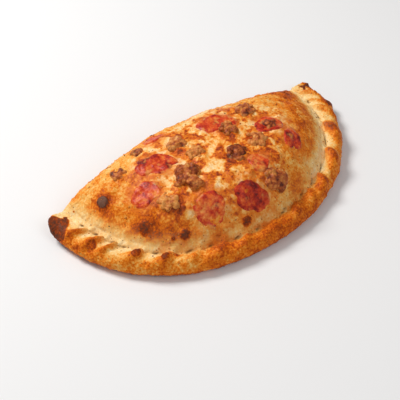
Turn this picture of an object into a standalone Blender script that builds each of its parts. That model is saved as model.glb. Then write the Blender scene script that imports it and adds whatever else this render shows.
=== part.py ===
"""Calzone: a folded half-moon of baked dough with a pleated edge, under baked cheese,
pepperoni slices and lumps of sausage.

Run it with: blender --background --python part.py
Metres, +Z up. The fold runs along X on the +Y side, the pleated edge curves round the
-Y side, and the calzone rests on Z = 0. Everything is laid out from the middle of the line
between the two tips, and ORIGIN_Y moves it so that the origin is under the bounds' centre.
"""

import math

import bpy
import numpy as np

# Outline in plan, laid out from the middle of the line between the two tips.
ORIGIN_Y = 0.0505
HALF_LENGTH = 0.1355
EDGE_DEPTH = 0.1205
LEFT_FULLNESS = 2.22
RIGHT_FULLNESS = 1.93
# How far the fold bulges past the tips' line, at shares of the half length.
FOLD_STATIONS = (-1.0, -0.8, -0.5, -0.2, 0.1, 0.4, 0.7, 0.88, 1.0)
FOLD_BULGES = (0.0, 0.010, 0.016, 0.0195, 0.0155, 0.008, 0.0005, -0.002, 0.0)

# Dome, rolled rim and underside.
DOME_HEIGHT = 0.047
DOME_PEAK_X = -0.008
FRONT_SLOPE_WIDTH = 0.040
FOLD_SLOPE_WIDTH = 0.042
FOLD_FOOT_HEIGHT = 0.012
TIP_HEIGHT = 0.0135
RIM_WIDTH = 0.015
RIM_HEIGHT = 0.0140
RIM_EDGE_HEIGHT = 0.006
SEAM_HEIGHT = 0.0105
UNDERCUT_WIDTH = 0.010
UNDERCUT_HEIGHT = 0.006

# Pleats: distance along the pleated edge from the left tip, rise and half width.
PLEATS = (
    (0.015, 0.0030, 0.005),
    (0.032, 0.0034, 0.006),
    (0.046, 0.0030, 0.005),
    (0.070, 0.0030, 0.008),
    (0.096, 0.0026, 0.008),
    (0.119, 0.0020, 0.007),
    (0.141, 0.0020, 0.008),
    (0.162, 0.0018, 0.008),
    (0.188, 0.0016, 0.010),
    (0.215, 0.0020, 0.009),
    (0.237, 0.0020, 0.007),
    (0.257, 0.0026, 0.007),
    (0.288, 0.0034, 0.010),
    (0.322, 0.0036, 0.010),
    (0.350, 0.0028, 0.007),
    (0.374, 0.0026, 0.006),
)
PLEAT_SLANT = 0.8
PLEAT_SWELL = 0.4

# Cheese: plan centre, half sizes and thickness.
CHEESE_CENTRE = (-0.010, -0.047)
CHEESE_HALF_LENGTH = 0.078
CHEESE_HALF_DEPTH = 0.053
CHEESE_THICKNESS = 0.0018
CHEESE_WAVES = ((3, 0.03, 0.6), (5, 0.035, 2.1), (8, 0.02, 4.0))

# Pepperoni slices: plan centre and radius.
PEPPERONI = (
    (-0.051, -0.027, 0.0140),
    (-0.074, -0.044, 0.0130),
    (-0.046, -0.083, 0.0135),
    (-0.012, -0.090, 0.0145),
    (0.014, -0.023, 0.0140),
    (0.045, -0.049, 0.0110),
    (0.051, -0.071, 0.0110),
    (-0.033, -0.003, 0.0100),
    (0.009, -0.075, 0.0100),
)
PEPPERONI_THICKNESS = 0.0016
PEPPERONI_CUP = 0.0006

# Lumps of sausage: plan centre, radius and height.
SAUSAGE = (
    (-0.042, -0.056, 0.0110, 0.0085),
    (-0.026, -0.022, 0.0085, 0.0055),
    (-0.021, -0.039, 0.0070, 0.0045),
    (0.014, -0.091, 0.0110, 0.0060),
    (0.001, -0.058, 0.0085, 0.0060),
    (0.024, -0.057, 0.0080, 0.0055),
    (0.016, -0.034, 0.0080, 0.0050),
    (0.043, -0.024, 0.0085, 0.0050),
    (0.046, -0.050, 0.0070, 0.0050),
    (-0.075, -0.011, 0.0065, 0.0040),
    (-0.065, -0.063, 0.0080, 0.0050),
    (-0.051, -0.005, 0.0065, 0.0040),
)

CHEESE_GAP = 0.0007  # between the crust and the cheese
GAP = 0.0004  # between pieces that rest on each other
SEED = 7

# Mesh densities.
OUTLINE_SAMPLES = 1440
ROUNDING_PASSES = 200
CRUST_SEGMENTS, CRUST_RINGS, CRUST_BOTTOM_RINGS = 96, 28, 6
CHEESE_SEGMENTS, CHEESE_RINGS = 48, 16
SLICE_SEGMENTS, SLICE_RINGS = 16, 8
LUMP_SEGMENTS, LUMP_RINGS = 12, 7

COLOURS = {
    "baked_crust": (0.56, 0.27, 0.08),
    "baked_cheese": (0.80, 0.46, 0.15),
    "pepperoni": (0.42, 0.06, 0.025),
    "sausage": (0.26, 0.11, 0.04),
}


def smooth_step(low, high, value):
    t = np.clip((value - low) / (high - low), 0.0, 1.0)
    return t * t * (3.0 - 2.0 * t)


def soft_min(a, b, width):
    share = np.clip(0.5 + 0.5 * (b - a) / width, 0.0, 1.0)
    return b * (1.0 - share) + a * share - width * share * (1.0 - share)


def soft_max(a, b, width):
    return -soft_min(-a, -b, width)


def arc_lengths(points):
    steps = np.linalg.norm(np.diff(points, axis=0), axis=1)
    return np.concatenate(([0.0], np.cumsum(steps)))


def plan_outline():
    """The closed plan outline, from the right tip round the fold, then the pleated edge."""
    angle = np.linspace(0.0, 2.0 * math.pi, OUTLINE_SAMPLES, endpoint=False)
    c, s = np.cos(angle), np.sin(angle)
    front = s < 0.0
    fullness = RIGHT_FULLNESS + (LEFT_FULLNESS - RIGHT_FULLNESS) * smooth_step(-0.5, 0.5, -c)
    fullness = np.where(front, fullness, RIGHT_FULLNESS)
    x = HALF_LENGTH * np.sign(c) * np.abs(c) ** (2.0 / fullness)
    y = -EDGE_DEPTH * np.abs(s) ** (2.0 / fullness)
    stations = np.array(FOLD_STATIONS) * HALF_LENGTH
    y = np.where(front, y, np.interp(x, stations, FOLD_BULGES))
    points = resampled(np.stack((x, y), axis=1), OUTLINE_SAMPLES)
    for _ in range(ROUNDING_PASSES):  # rounds the tips and the fold's stations
        points = (np.roll(points, 1, 0) + 2.0 * points + np.roll(points, -1, 0)) / 4.0
    return points


def resampled(points, count):
    """count points evenly spaced round a closed outline."""
    closed = np.vstack((points, points[:1]))
    along = arc_lengths(closed)
    wanted = np.linspace(0.0, along[-1], count, endpoint=False)
    return np.stack([np.interp(wanted, along, closed[:, k]) for k in (0, 1)], axis=1)


def split_at_tips(outline):
    """The pleated edge, left tip to right tip, and the fold, right tip to left tip."""
    left = int(np.argmin(outline[:, 0]))
    right = int(np.argmax(outline[:, 0]))
    start = np.roll(outline, -left, axis=0)
    tip = (right - left) % len(outline)
    return start[: tip + 1], np.vstack((start[tip:], start[:1]))


def nearest(points, line):
    """Distance from each plan point to a line of points, and how far along it that is."""
    along = arc_lengths(line)
    best = np.full(len(points), np.inf)
    place = np.zeros(len(points))
    for start, end, begun in zip(line[:-1], line[1:], along):
        step = end - start
        length = np.linalg.norm(step)
        t = np.clip(((points - start) @ step) / length**2, 0.0, 1.0)
        gap = np.linalg.norm(points - start - t[:, None] * step, axis=1)
        closer = gap < best
        best = np.where(closer, gap, best)
        place = np.where(closer, begun + t * length, place)
    return best, place


OUTLINE = plan_outline()
EDGE_LINE, FOLD_LINE = split_at_tips(resampled(OUTLINE, 240))


def pleat_field(along, inward):
    """Rise of the pleats on the rim, whose ridges slant across it."""
    across = np.sin(math.pi * np.clip(inward / RIM_WIDTH, 0.0, 1.0)) ** 0.7
    ridge = np.zeros_like(along)
    for place, rise, half_width in PLEATS:
        centre = place + PLEAT_SLANT * (inward - RIM_WIDTH / 2.0)
        ridge = np.maximum(ridge, rise * np.exp(-(((along - centre) / half_width) ** 2)))
    return ridge * across


def rim_height(along, inward):
    """The rolled rim's section: a round outer side and a shorter fall to the seam."""
    half = RIM_WIDTH / 2.0
    outer = np.sqrt(np.clip(1.0 - (1.0 - inward / half) ** 2, 0.0, 1.0))
    inner = np.sqrt(np.clip(1.0 - (inward / half - 1.0) ** 2, 0.0, 1.0))
    height = np.where(
        inward < half,
        RIM_EDGE_HEIGHT + (RIM_HEIGHT - RIM_EDGE_HEIGHT) * outer,
        SEAM_HEIGHT + (RIM_HEIGHT - SEAM_HEIGHT) * inner,
    )
    return height + pleat_field(along, inward)


def dome_height(x, from_edge, from_fold):
    """The filled dome, which falls to the seam in front and round the fold behind."""
    lengthwise = np.clip(np.abs(x - DOME_PEAK_X) / (1.03 * HALF_LENGTH), 0.0, 1.0)
    ridge = np.maximum(DOME_HEIGHT * np.sqrt(1.0 - lengthwise**2.2), TIP_HEIGHT)
    front = np.clip((from_edge - 0.9 * RIM_WIDTH) / FRONT_SLOPE_WIDTH, 0.0, 1.0)
    front = SEAM_HEIGHT + (ridge - SEAM_HEIGHT) * np.sin(math.pi / 2.0 * front) ** 0.85
    return soft_min(front, fold_height(ridge, from_fold), 0.010)


def fold_height(ridge, from_fold):
    inward = np.clip(from_fold / FOLD_SLOPE_WIDTH, 0.0, 1.0)
    return FOLD_FOOT_HEIGHT + (ridge - FOLD_FOOT_HEIGHT) * np.sqrt(1.0 - (1.0 - inward) ** 2.2)


def crust_top(points):
    """Height of the crust's upper surface over plan points."""
    from_edge, along = nearest(points, EDGE_LINE)
    from_fold, _ = nearest(points, FOLD_LINE)
    dome = dome_height(points[:, 0], from_edge, from_fold)
    on_rim = soft_max(
        rim_height(along, from_edge),
        np.where(from_edge > 0.9 * RIM_WIDTH, dome, 0.0),
        0.002,
    )
    top = np.where(from_edge < 1.2 * RIM_WIDTH, on_rim, dome)
    return soft_min(top, fold_height(np.full(len(points), DOME_HEIGHT), from_fold), 0.002)


def crust_underside(points):
    """Height of the underside: flat, with a rounded undercut all round."""
    from_edge, _ = nearest(points, EDGE_LINE)
    from_fold, _ = nearest(points, FOLD_LINE)
    inward = np.clip(np.minimum(from_edge, from_fold) / UNDERCUT_WIDTH, 0.0, 1.0)
    return UNDERCUT_HEIGHT * (1.0 - np.sqrt(1.0 - (1.0 - inward) ** 2))


def crust_frame(points):
    """Points on the crust's upper surface, with unit normals."""
    reach = 0.0015
    height = crust_top(points)
    slopes = []
    for axis in (0, 1):
        step = np.zeros(2)
        step[axis] = reach
        slopes.append((crust_top(points + step) - crust_top(points - step)) / (2.0 * reach))
    normal = np.stack((-slopes[0], -slopes[1], np.ones(len(points))), axis=1)
    normal /= np.linalg.norm(normal, axis=1)[:, None]
    return np.column_stack((points, height)), normal


def material(name):
    made = bpy.data.materials.new(name)
    made.use_nodes = True
    shader = made.node_tree.nodes["Principled BSDF"]
    shader.inputs["Base Color"].default_value = (*COLOURS[name], 1.0)
    shader.inputs["Roughness"].default_value = 0.6
    shader.inputs["Metallic"].default_value = 0.0
    return made


def sphere(name, segments, rings, finish, collection):
    """A unit UV sphere in the collection, with its material."""
    bpy.ops.mesh.primitive_uv_sphere_add(segments=segments, ring_count=rings, radius=1.0)
    made = bpy.context.object
    made.name = made.data.name = name
    made.data.materials.append(finish)
    made.data.shade_smooth()
    for owner in list(made.users_collection):
        owner.objects.unlink(made)
    collection.objects.link(made)
    return made


def sphere_coordinates(made, rings):
    """Longitude and ring number, 0 at the bottom pole, of each vertex of a unit sphere."""
    places = np.array([v.co for v in made.data.vertices])
    longitude = np.arctan2(places[:, 1], places[:, 0]) % (2.0 * math.pi)
    latitude = np.arcsin(np.clip(places[:, 2], -1.0, 1.0))
    return longitude, (latitude / math.pi + 0.5) * rings


def place_vertices(made, places):
    """Moves every vertex to its place in the layout, shifted into the part's frame."""
    shifted = places + np.array((0.0, ORIGIN_Y, 0.0))
    made.data.vertices.foreach_set("co", shifted.astype(np.float32).ravel())
    made.data.update()


def make_crust(finish, collection):
    """The whole dough: rings of a sphere spread inward from the plan outline."""
    made = sphere("crust", CRUST_SEGMENTS, CRUST_RINGS, finish, collection)
    longitude, ring = sphere_coordinates(made, CRUST_RINGS)
    closed = resampled(OUTLINE, CRUST_SEGMENTS)
    closed = np.vstack((closed, closed[:1]))
    turns = np.linspace(0.0, 2.0 * math.pi, CRUST_SEGMENTS + 1)
    rim = np.stack([np.interp(longitude, turns, closed[:, k]) for k in (0, 1)], axis=1)
    centre = np.array((0.0, -0.045))
    equator = CRUST_BOTTOM_RINGS
    inward_top = np.clip((ring - equator) / (CRUST_RINGS - equator), 0.0, 1.0) ** 1.35
    inward_bottom = np.clip((equator - ring) / equator, 0.0, 1.0) ** 2.0
    upper = ring > equator + 0.5
    lower = ring < equator - 0.5
    inward = np.where(upper, inward_top, np.where(lower, inward_bottom, 0.0))
    plan = rim + (centre - rim) * inward[:, None]
    top, under = crust_top(plan), crust_underside(plan)
    height = np.where(upper, top, np.where(lower, under, (top + under) / 2.0))
    place_vertices(made, np.column_stack((plan, height)))


def cheese_reach(angle):
    """How far the cheese spreads at an angle, as a share of its half sizes."""
    return 1.0 + sum(size * np.sin(count * angle + phase) for count, size, phase in CHEESE_WAVES)


def cheese_depth(plan):
    """Thickness of the cheese over plan points, which thins towards its edge."""
    away = plan - np.array(CHEESE_CENTRE)
    away = away / np.array((CHEESE_HALF_LENGTH, CHEESE_HALF_DEPTH))
    share = np.linalg.norm(away, axis=1) / cheese_reach(np.arctan2(away[:, 1], away[:, 0]))
    return CHEESE_THICKNESS * np.sqrt(np.clip(1.0 - share**6, 0.0, 1.0))


def make_cheese(finish, collection):
    made = sphere("cheese", CHEESE_SEGMENTS, CHEESE_RINGS, finish, collection)
    angle, ring = sphere_coordinates(made, CHEESE_RINGS)
    half = CHEESE_RINGS / 2.0
    share = 1.0 - np.abs(ring / half - 1.0) ** 1.4
    reach = (share * cheese_reach(angle))[:, None]
    round_plan = np.stack((np.cos(angle), np.sin(angle)), axis=1) * reach
    plan = np.array(CHEESE_CENTRE) + round_plan * (CHEESE_HALF_LENGTH, CHEESE_HALF_DEPTH)
    surface, normal = crust_frame(plan)
    depth = np.where(ring > half + 0.5, np.maximum(cheese_depth(plan), 0.0008), 0.0)
    depth = np.where(np.abs(ring - half) < 0.5, 0.0004, depth)
    place_vertices(made, surface + normal * (CHEESE_GAP + depth)[:, None])


def tangent_plan(centre, offsets):
    """Plan points of offsets laid out in the crust's tangent plane at a centre."""
    _, normal = crust_frame(np.array((centre,)))
    normal = normal[0]
    along = np.cross((0.0, 1.0, 0.0), normal)
    along /= np.linalg.norm(along)
    across = np.cross(normal, along)
    return np.array(centre) + offsets[:, :1] * along[:2] + offsets[:, 1:] * across[:2]


def wobble(angle, random, size):
    """An uneven radius near 1, different for each piece."""
    radius = np.ones_like(angle)
    for count in (2, 3, 5):
        phase, share = random.uniform(0.0, 2.0 * math.pi), random.uniform(0.4, 1.0)
        radius += size * share / count * np.sin(count * angle + phase)
    return radius


def slice_depth(plan):
    """Room to leave above the cheese for the slices, a little wider than they are."""
    depth = np.zeros(len(plan))
    for x, y, radius in PEPPERONI:
        away = np.linalg.norm(plan - (x, y), axis=1)
        shoulder = 1.0 - smooth_step(radius + 0.0015, radius + 0.0045, away)
        depth = np.maximum(depth, (PEPPERONI_THICKNESS + PEPPERONI_CUP + GAP) * shoulder)
    return depth


def make_slice(number, spec, random, finish, collection):
    """A pepperoni slice, laid over the cheese with its border cupped up."""
    x, y, radius = spec
    made = sphere(f"pepperoni_{number}", SLICE_SEGMENTS, SLICE_RINGS, finish, collection)
    angle, ring = sphere_coordinates(made, SLICE_RINGS)
    half = SLICE_RINGS / 2.0
    share = 1.0 - np.abs(ring / half - 1.0) ** 1.8
    reach = radius * share * wobble(angle, random, 0.06)
    offsets = np.stack((np.cos(angle), np.sin(angle)), axis=1) * reach[:, None]
    plan = tangent_plan((x, y), offsets)
    surface, normal = crust_frame(plan)
    level = np.where(ring > half + 0.5, 1.0, np.where(ring < half - 0.5, 0.0, 0.5))
    rise = PEPPERONI_THICKNESS * level + PEPPERONI_CUP * share**4 * (level > 0.7)
    base = CHEESE_GAP + CHEESE_THICKNESS + GAP
    place_vertices(made, surface + normal * (base + rise)[:, None])


def make_lump(number, spec, random, finish, collection):
    """A lump of sausage, rounded above and shaped below to what it rests on."""
    x, y, radius, height = spec
    made = sphere(f"sausage_{number}", LUMP_SEGMENTS, LUMP_RINGS, finish, collection)
    angle, ring = sphere_coordinates(made, LUMP_RINGS)
    half = LUMP_RINGS / 2.0
    latitude = (ring / half - 1.0) * math.pi / 2.0
    share = np.cos(latitude) ** 0.8
    reach = radius * share * wobble(angle, random, 0.14)
    offsets = np.stack((np.cos(angle), np.sin(angle)), axis=1) * reach[:, None]
    plan = tangent_plan((x, y), offsets)
    surface, normal = crust_frame(plan)
    uneven = 1.0 + 0.10 * np.sin(3.0 * angle + random.uniform(0.0, 6.0)) * share
    rise = np.where(latitude > 0.0, 0.25 + 0.75 * np.sin(np.abs(latitude)), 0.0) * height * uneven
    base = CHEESE_GAP + CHEESE_THICKNESS + GAP + slice_depth(plan)
    place_vertices(made, surface + normal * (base + rise)[:, None])


def main():
    for old in list(bpy.data.objects):
        bpy.data.objects.remove(old)
    collection = bpy.data.collections.new("calzone")
    bpy.context.scene.collection.children.link(collection)
    finishes = {name: material(name) for name in COLOURS}
    random = np.random.default_rng(SEED)
    make_crust(finishes["baked_crust"], collection)
    make_cheese(finishes["baked_cheese"], collection)
    for number, spec in enumerate(PEPPERONI, start=1):
        make_slice(number, spec, random, finishes["pepperoni"], collection)
    for number, spec in enumerate(SAUSAGE, start=1):
        make_lump(number, spec, random, finishes["sausage"], collection)


main()
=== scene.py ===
"""Looks of the calzone: baked dough with a pleated edge, cheese, pepperoni and sausage.

Shapes are worked out in the part's layout, whose origin is midway between the two tips, and
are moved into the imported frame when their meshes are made. Metres throughout.
"""

import math

import bmesh
import bpy
import numpy as np
from mathutils import Matrix, Vector


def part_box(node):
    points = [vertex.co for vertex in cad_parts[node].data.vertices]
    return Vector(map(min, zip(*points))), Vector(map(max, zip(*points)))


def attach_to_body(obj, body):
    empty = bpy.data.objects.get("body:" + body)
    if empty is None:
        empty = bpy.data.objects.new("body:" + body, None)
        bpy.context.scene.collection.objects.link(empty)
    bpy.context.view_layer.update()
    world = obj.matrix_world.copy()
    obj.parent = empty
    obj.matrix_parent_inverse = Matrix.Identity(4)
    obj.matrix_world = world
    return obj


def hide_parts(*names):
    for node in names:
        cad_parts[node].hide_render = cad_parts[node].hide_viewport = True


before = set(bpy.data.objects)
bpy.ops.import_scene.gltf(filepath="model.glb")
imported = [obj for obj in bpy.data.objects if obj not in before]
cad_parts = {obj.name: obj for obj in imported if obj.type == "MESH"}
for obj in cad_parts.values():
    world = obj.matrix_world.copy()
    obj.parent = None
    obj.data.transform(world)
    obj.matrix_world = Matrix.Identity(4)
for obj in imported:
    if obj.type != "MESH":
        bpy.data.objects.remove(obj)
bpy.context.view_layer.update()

# Outline in plan, as in the CAD model.
HALF_LENGTH = 0.1355
EDGE_DEPTH = 0.1205
LEFT_FULLNESS = 2.22
RIGHT_FULLNESS = 1.93
FOLD_STATIONS = (-1.0, -0.8, -0.5, -0.2, 0.1, 0.4, 0.7, 0.88, 1.0)
FOLD_BULGES = (0.0, 0.010, 0.016, 0.0195, 0.0155, 0.008, 0.0005, -0.002, 0.0)

# Dome, rolled rim and underside.
DOME_HEIGHT = 0.047
DOME_PEAK_X = -0.008
FRONT_SLOPE_WIDTH = 0.040
FOLD_SLOPE_WIDTH = 0.042
FOLD_FOOT_HEIGHT = 0.009
TIP_HEIGHT = 0.0135
RIM_WIDTH = 0.015
RIM_HEIGHT = 0.0140
RIM_EDGE_HEIGHT = 0.006
SEAM_HEIGHT = 0.0105
UNDERCUT_WIDTH = 0.010

# How far in from the pleated edge the seam runs, at places along the edge.
SEAM_STATIONS = (0.0, 0.045, 0.087, 0.135, 0.170, 0.234, 0.275, 0.310, 0.345, 0.390)
SEAM_DISTANCES = (0.0190, 0.0184, 0.0148, 0.0145, 0.0127, 0.0144, 0.0125, 0.0139, 0.0162, 0.0185)

# Pleats: place along the pleated edge from the left tip, rise, half widths before and after
# the crest, how brown the crest is, and how far it reaches down the outer side.
PLEATS = (
    (0.0145, 0.0042, 0.0036, 0.0032, 0.11, 0.0),
    (0.032, 0.0050, 0.0066, 0.0034, 0.08, 0.1),
    (0.046, 0.0042, 0.0036, 0.0028, 0.10, 0.0),
    (0.070, 0.0042, 0.0080, 0.0048, 0.03, 0.1),
    (0.096, 0.0038, 0.0080, 0.0056, 0.04, 0.1),
    (0.119, 0.0024, 0.0060, 0.0042, 0.00, 0.0),
    (0.141, 0.0026, 0.0075, 0.0050, 0.10, 0.0),
    (0.162, 0.0020, 0.0070, 0.0046, 0.08, 0.0),
    (0.188, 0.0020, 0.0090, 0.0058, 0.08, 0.0),
    (0.215, 0.0028, 0.0090, 0.0058, 0.12, 0.0),
    (0.237, 0.0024, 0.0060, 0.0042, 0.08, 0.05),
    (0.257, 0.0036, 0.0075, 0.0044, 0.18, 0.1),
    (0.288, 0.0048, 0.0120, 0.0064, 0.22, 0.2),
    (0.322, 0.0050, 0.0110, 0.0070, 0.24, 0.2),
    (0.350, 0.0030, 0.0060, 0.0040, 0.06, 0.15),
    (0.363, 0.0016, 0.0040, 0.0020, 0.00, 0.1),
    (0.376, 0.0026, 0.0050, 0.0030, 0.06, 0.1),
)
PLEAT_SLANT = 0.85
CREASE_DEPTH = 0.0012
CREASE_HALF_WIDTH = 0.0009

# Slits where the seam gapes, sunk a little and darkened with painted shade: place along the edge
# and length.
SEAM_GAPS = (
    (0.011, 0.006),
    (0.0276, 0.006),
    (0.0455, 0.007),
    (0.058, 0.006),
    (0.087, 0.008),
    (0.116, 0.009),
    (0.135, 0.005),
    (0.158, 0.009),
    (0.178, 0.006),
    (0.206, 0.012),
    (0.234, 0.010),
    (0.252, 0.009),
    (0.271, 0.012),
    (0.308, 0.014),
    (0.344, 0.014),
    (0.368, 0.010),
)
SEAM_GAP_DEPTH = 0.0014
SEAM_GROOVE_DEPTH = 0.0007

# Burst bubbles in the dough: plan place, radius, rise, how charred.
BLISTERS = (
    (-0.0985, -0.0215, 0.0058, 0.0036, 1.06),
    (-0.0890, -0.0600, 0.0060, 0.0026, 0.74),
    (-0.0692, -0.0830, 0.0047, 0.0022, 0.75),
    (-0.0247, -0.1014, 0.0044, 0.0018, 0.76),
    (-0.1229, -0.0404, 0.0028, 0.0008, 0.72),
    (-0.1042, -0.0684, 0.0025, 0.0008, 0.74),
    (-0.0900, -0.0846, 0.0022, 0.0006, 0.70),
    (-0.0770, -0.0790, 0.0020, 0.0006, 0.72),
    (-0.0810, -0.0880, 0.0018, 0.0005, 0.72),
    (-0.0620, -0.0713, 0.0026, 0.0012, 0.70),
)

# Toasted patches: plan place, half sizes, turn, strength, which is below 0 on paler ones.
TOASTED = (
    (-0.096, -0.037, 0.022, 0.015, -0.9, 0.11),
    (-0.083, -0.066, 0.018, 0.012, -0.8, 0.19),
    (-0.075, -0.080, 0.014, 0.009, -0.4, 0.15),
    (-0.101, -0.020, 0.013, 0.012, 0.0, 0.10),
    (0.098, -0.012, 0.016, 0.012, 0.0, 0.10),
    (-0.050, -0.094, 0.012, 0.006, 0.0, 0.16),
    (0.030, -0.098, 0.014, 0.006, 0.4, 0.16),
    (0.0026, -0.062, 0.0120, 0.0100, -0.6, 0.24),
    (0.101, -0.064, 0.007, 0.005, 0.8, 0.14),
    (0.081, -0.085, 0.007, 0.005, 0.6, 0.14),
    (0.055, -0.103, 0.007, 0.005, 0.4, 0.10),
    (-0.048, -0.102, 0.008, 0.005, 0.0, 0.12),
    (0.128, -0.034, 0.006, 0.006, 0.0, 0.26),
    (-0.080, 0.002, 0.030, 0.014, 0.3, -0.07),
    (-0.118, -0.030, 0.010, 0.010, 0.0, -0.05),
)

# Scorched ends: plan place, radius, level.
SCORCHES = (
    (-0.1320, -0.0060, 0.0120, 0.80),
    (0.1325, -0.0070, 0.0045, 0.82),
    (0.1275, -0.0370, 0.0045, 0.80),
)

# Local pushes that shape the tips: place in the layout, radius, push.
SWELLS = (
    ((-0.130, 0.004, 0.010), 0.010, (-0.0020, 0.0016, 0.0040)),
    ((-0.126, -0.014, 0.010), 0.008, (-0.0012, 0.0, 0.0014)),
    ((0.134, 0.000, 0.010), 0.014, (-0.0016, -0.0012, -0.0026)),
    ((0.130, -0.020, 0.010), 0.009, (-0.0022, 0.0010, 0.0)),
    ((0.129, -0.036, 0.008), 0.006, (0.0022, -0.0010, 0.0008)),
)

# Cheese: plan centre, half sizes, thickness.
CHEESE_CENTRE = (-0.010, -0.046)
CHEESE_HALF_LENGTH = 0.083
CHEESE_HALF_DEPTH = 0.056
CHEESE_THICKNESS = 0.0017
CHEESE_WAVES = ((3, 0.03, 0.6), (5, 0.035, 2.1), (8, 0.02, 4.0))
CHEESE_SINK = 0.0007

# Pepperoni: plan centre, half sizes, turn, redness, how much cheese lies over it.
PEPPERONI = (
    (-0.0515, -0.0279, 0.0170, 0.0132, -0.69, 0.60, 0.22),
    (-0.0735, -0.0430, 0.0135, 0.0118, -0.60, 0.44, 0.26),
    (-0.0455, -0.0835, 0.0148, 0.0158, -0.69, 0.46, 0.26),
    (-0.0125, -0.0925, 0.0168, 0.0135, -0.75, 0.70, 0.08),
    (0.0131, -0.0239, 0.0168, 0.0122, -0.69, 0.48, 0.24),
    (0.0445, -0.0490, 0.0128, 0.0118, -0.69, 0.62, 0.16),
    (0.0520, -0.0690, 0.0086, 0.0150, -0.50, 0.60, 0.20),
    (-0.0335, -0.0003, 0.0102, 0.0085, -0.69, 0.50, 0.18),
    (0.0085, -0.0765, 0.0100, 0.0088, -0.69, 0.50, 0.38),
)
PEPPERONI_THICKNESS = 0.0013
SLICE_WOBBLE = 0.28

# Sausage: plan centre, radius, height, darkness, how much cheese coats it.
SAUSAGE = (
    (-0.0422, -0.0557, 0.0124, 0.0076, 0.52, -0.04),
    (-0.0265, -0.0227, 0.0080, 0.0038, 0.16, 0.22),
    (-0.0222, -0.0389, 0.0076, 0.0032, 0.22, 0.34),
    (0.0140, -0.0904, 0.0112, 0.0054, 0.56, -0.14),
    (0.0016, -0.0600, 0.0088, 0.0050, 0.96, -0.14),
    (0.0236, -0.0578, 0.0086, 0.0038, 0.22, 0.18),
    (0.0150, -0.0353, 0.0084, 0.0038, 0.56, -0.10),
    (0.0418, -0.0249, 0.0090, 0.0038, 0.50, 0.16),
    (0.0445, -0.0500, 0.0066, 0.0040, 0.74, -0.16),
    (-0.0760, -0.0122, 0.0066, 0.0034, 0.66, -0.10),
    (-0.0659, -0.0609, 0.0078, 0.0034, 0.08, 0.50),
    (-0.0511, -0.0050, 0.0062, 0.0030, 0.74, -0.04),
)

# Camera: direction, distance, aim in the layout, lens and roll.
CAMERA_AZIMUTH = -39.5
CAMERA_ELEVATION = 45.2
CAMERA_DISTANCE = 0.8386
CAMERA_AIM = (-0.0323, -0.0561, 0.015)
CAMERA_LENS = 98.1
CAMERA_ROLL = -1.17

# Mesh densities.
OUTLINE_SAMPLES = 1440
ROUNDING_PASSES = 200
CRUST_COLUMNS, CRUST_TOP_ROWS, CRUST_BOTTOM_ROWS = 600, 132, 14
CHEESE_TURNS, CHEESE_RINGS = 420, 110
SLICE_TURNS, SLICE_RINGS = 96, 34
EDGE_POINTS, FOLD_POINTS = 160, 120
MAP_STEP = 0.0005
MAP_MARGIN = 0.004

# Sausage lumps: crumbs in each, the fineness of their skin and how deep they sit.
LUMP_CRUMBS = 24
LUMP_VOXEL = 0.00052
LUMP_SINK = 0.0022
# Loose toasted crumbs: tries at placing one, smallest size and spread of sizes.
CRUMB_TRIES = 560
CRUMB_SIZE, CRUMB_SIZE_SPREAD = 0.00028, 0.00055

# How brown the dough and the cheese get outside charred places.
BAKE_LIMIT = 0.68
# Charred levels between which flour and oil stop showing.
BURNT_FROM, BURNT_TO = 0.35, 0.60
# The range that most of a shader noise's values are in.
NOISE_LOW, NOISE_HIGH = 0.3, 0.7

# Studio: brightness of the surroundings, and each light's place, size and power.
SKY_STRENGTH = 0.32
KEY_LIGHT = ((-0.35, 0.75, 1.05), 0.55, 14.5)
FILL_LIGHT = ((0.0, -1.0, 1.1), 0.9, 4.0)


# ---------------------------------------------------------------- numbers and noise


def smooth_step(low, high, value):
    t = np.clip((value - low) / (high - low), 0.0, 1.0)
    return t * t * (3.0 - 2.0 * t)


def soft_min(a, b, width):
    share = np.clip(0.5 + 0.5 * (b - a) / width, 0.0, 1.0)
    return b * (1.0 - share) + a * share - width * share * (1.0 - share)


def soft_max(a, b, width):
    return -soft_min(-a, -b, width)


def bump(value, centre, before, after=None):
    """A bell from 0 to 1 with its own half width on each side of the centre."""
    away = value - centre
    width = np.where(away < 0.0, before, before if after is None else after)
    return np.exp(-((away / width) ** 2))


def cell_value(cells, seed):
    """A repeatable number from 0 to 1 for each whole-number cell."""
    x, y, z = cells[:, 0], cells[:, 1], cells[:, 2]
    mixed = (x * 73856093) ^ (y * 19349663) ^ (z * 83492791) ^ (seed * 26544357)
    mixed = ((mixed ^ (mixed >> 13)) * 1274126177) & 0xFFFFFFFF
    mixed = ((mixed ^ (mixed >> 16)) * 73244475) & 0xFFFFFFFF
    return ((mixed ^ (mixed >> 16)) & 0xFFFF) / 65535.0


def noise(points, size, seed):
    """Smooth noise, mostly between -1 and 1, with features of about the given size."""
    places = points / size + seed * 7.31
    low = np.floor(places).astype(np.int64)
    part = places - low
    ease = part**3 * (part * (part * 6.0 - 15.0) + 10.0)
    total = np.zeros(len(points))
    for corner in np.ndindex(2, 2, 2):
        cell = low + corner
        slope = np.stack([cell_value(cell, seed + k * 101) for k in range(3)], axis=1)
        slope = slope * 2.0 - 1.0
        weight = np.prod(np.where(corner, ease, 1.0 - ease), axis=1)
        total += weight * np.sum(slope * (part - corner), axis=1)
    return total * 1.9


def layered_noise(points, size, seed, layers=3, fade=0.5):
    total = np.zeros(len(points))
    for layer in range(layers):
        total += fade**layer * noise(points, size / 2.0**layer, seed + 13 * layer)
    return total


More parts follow.
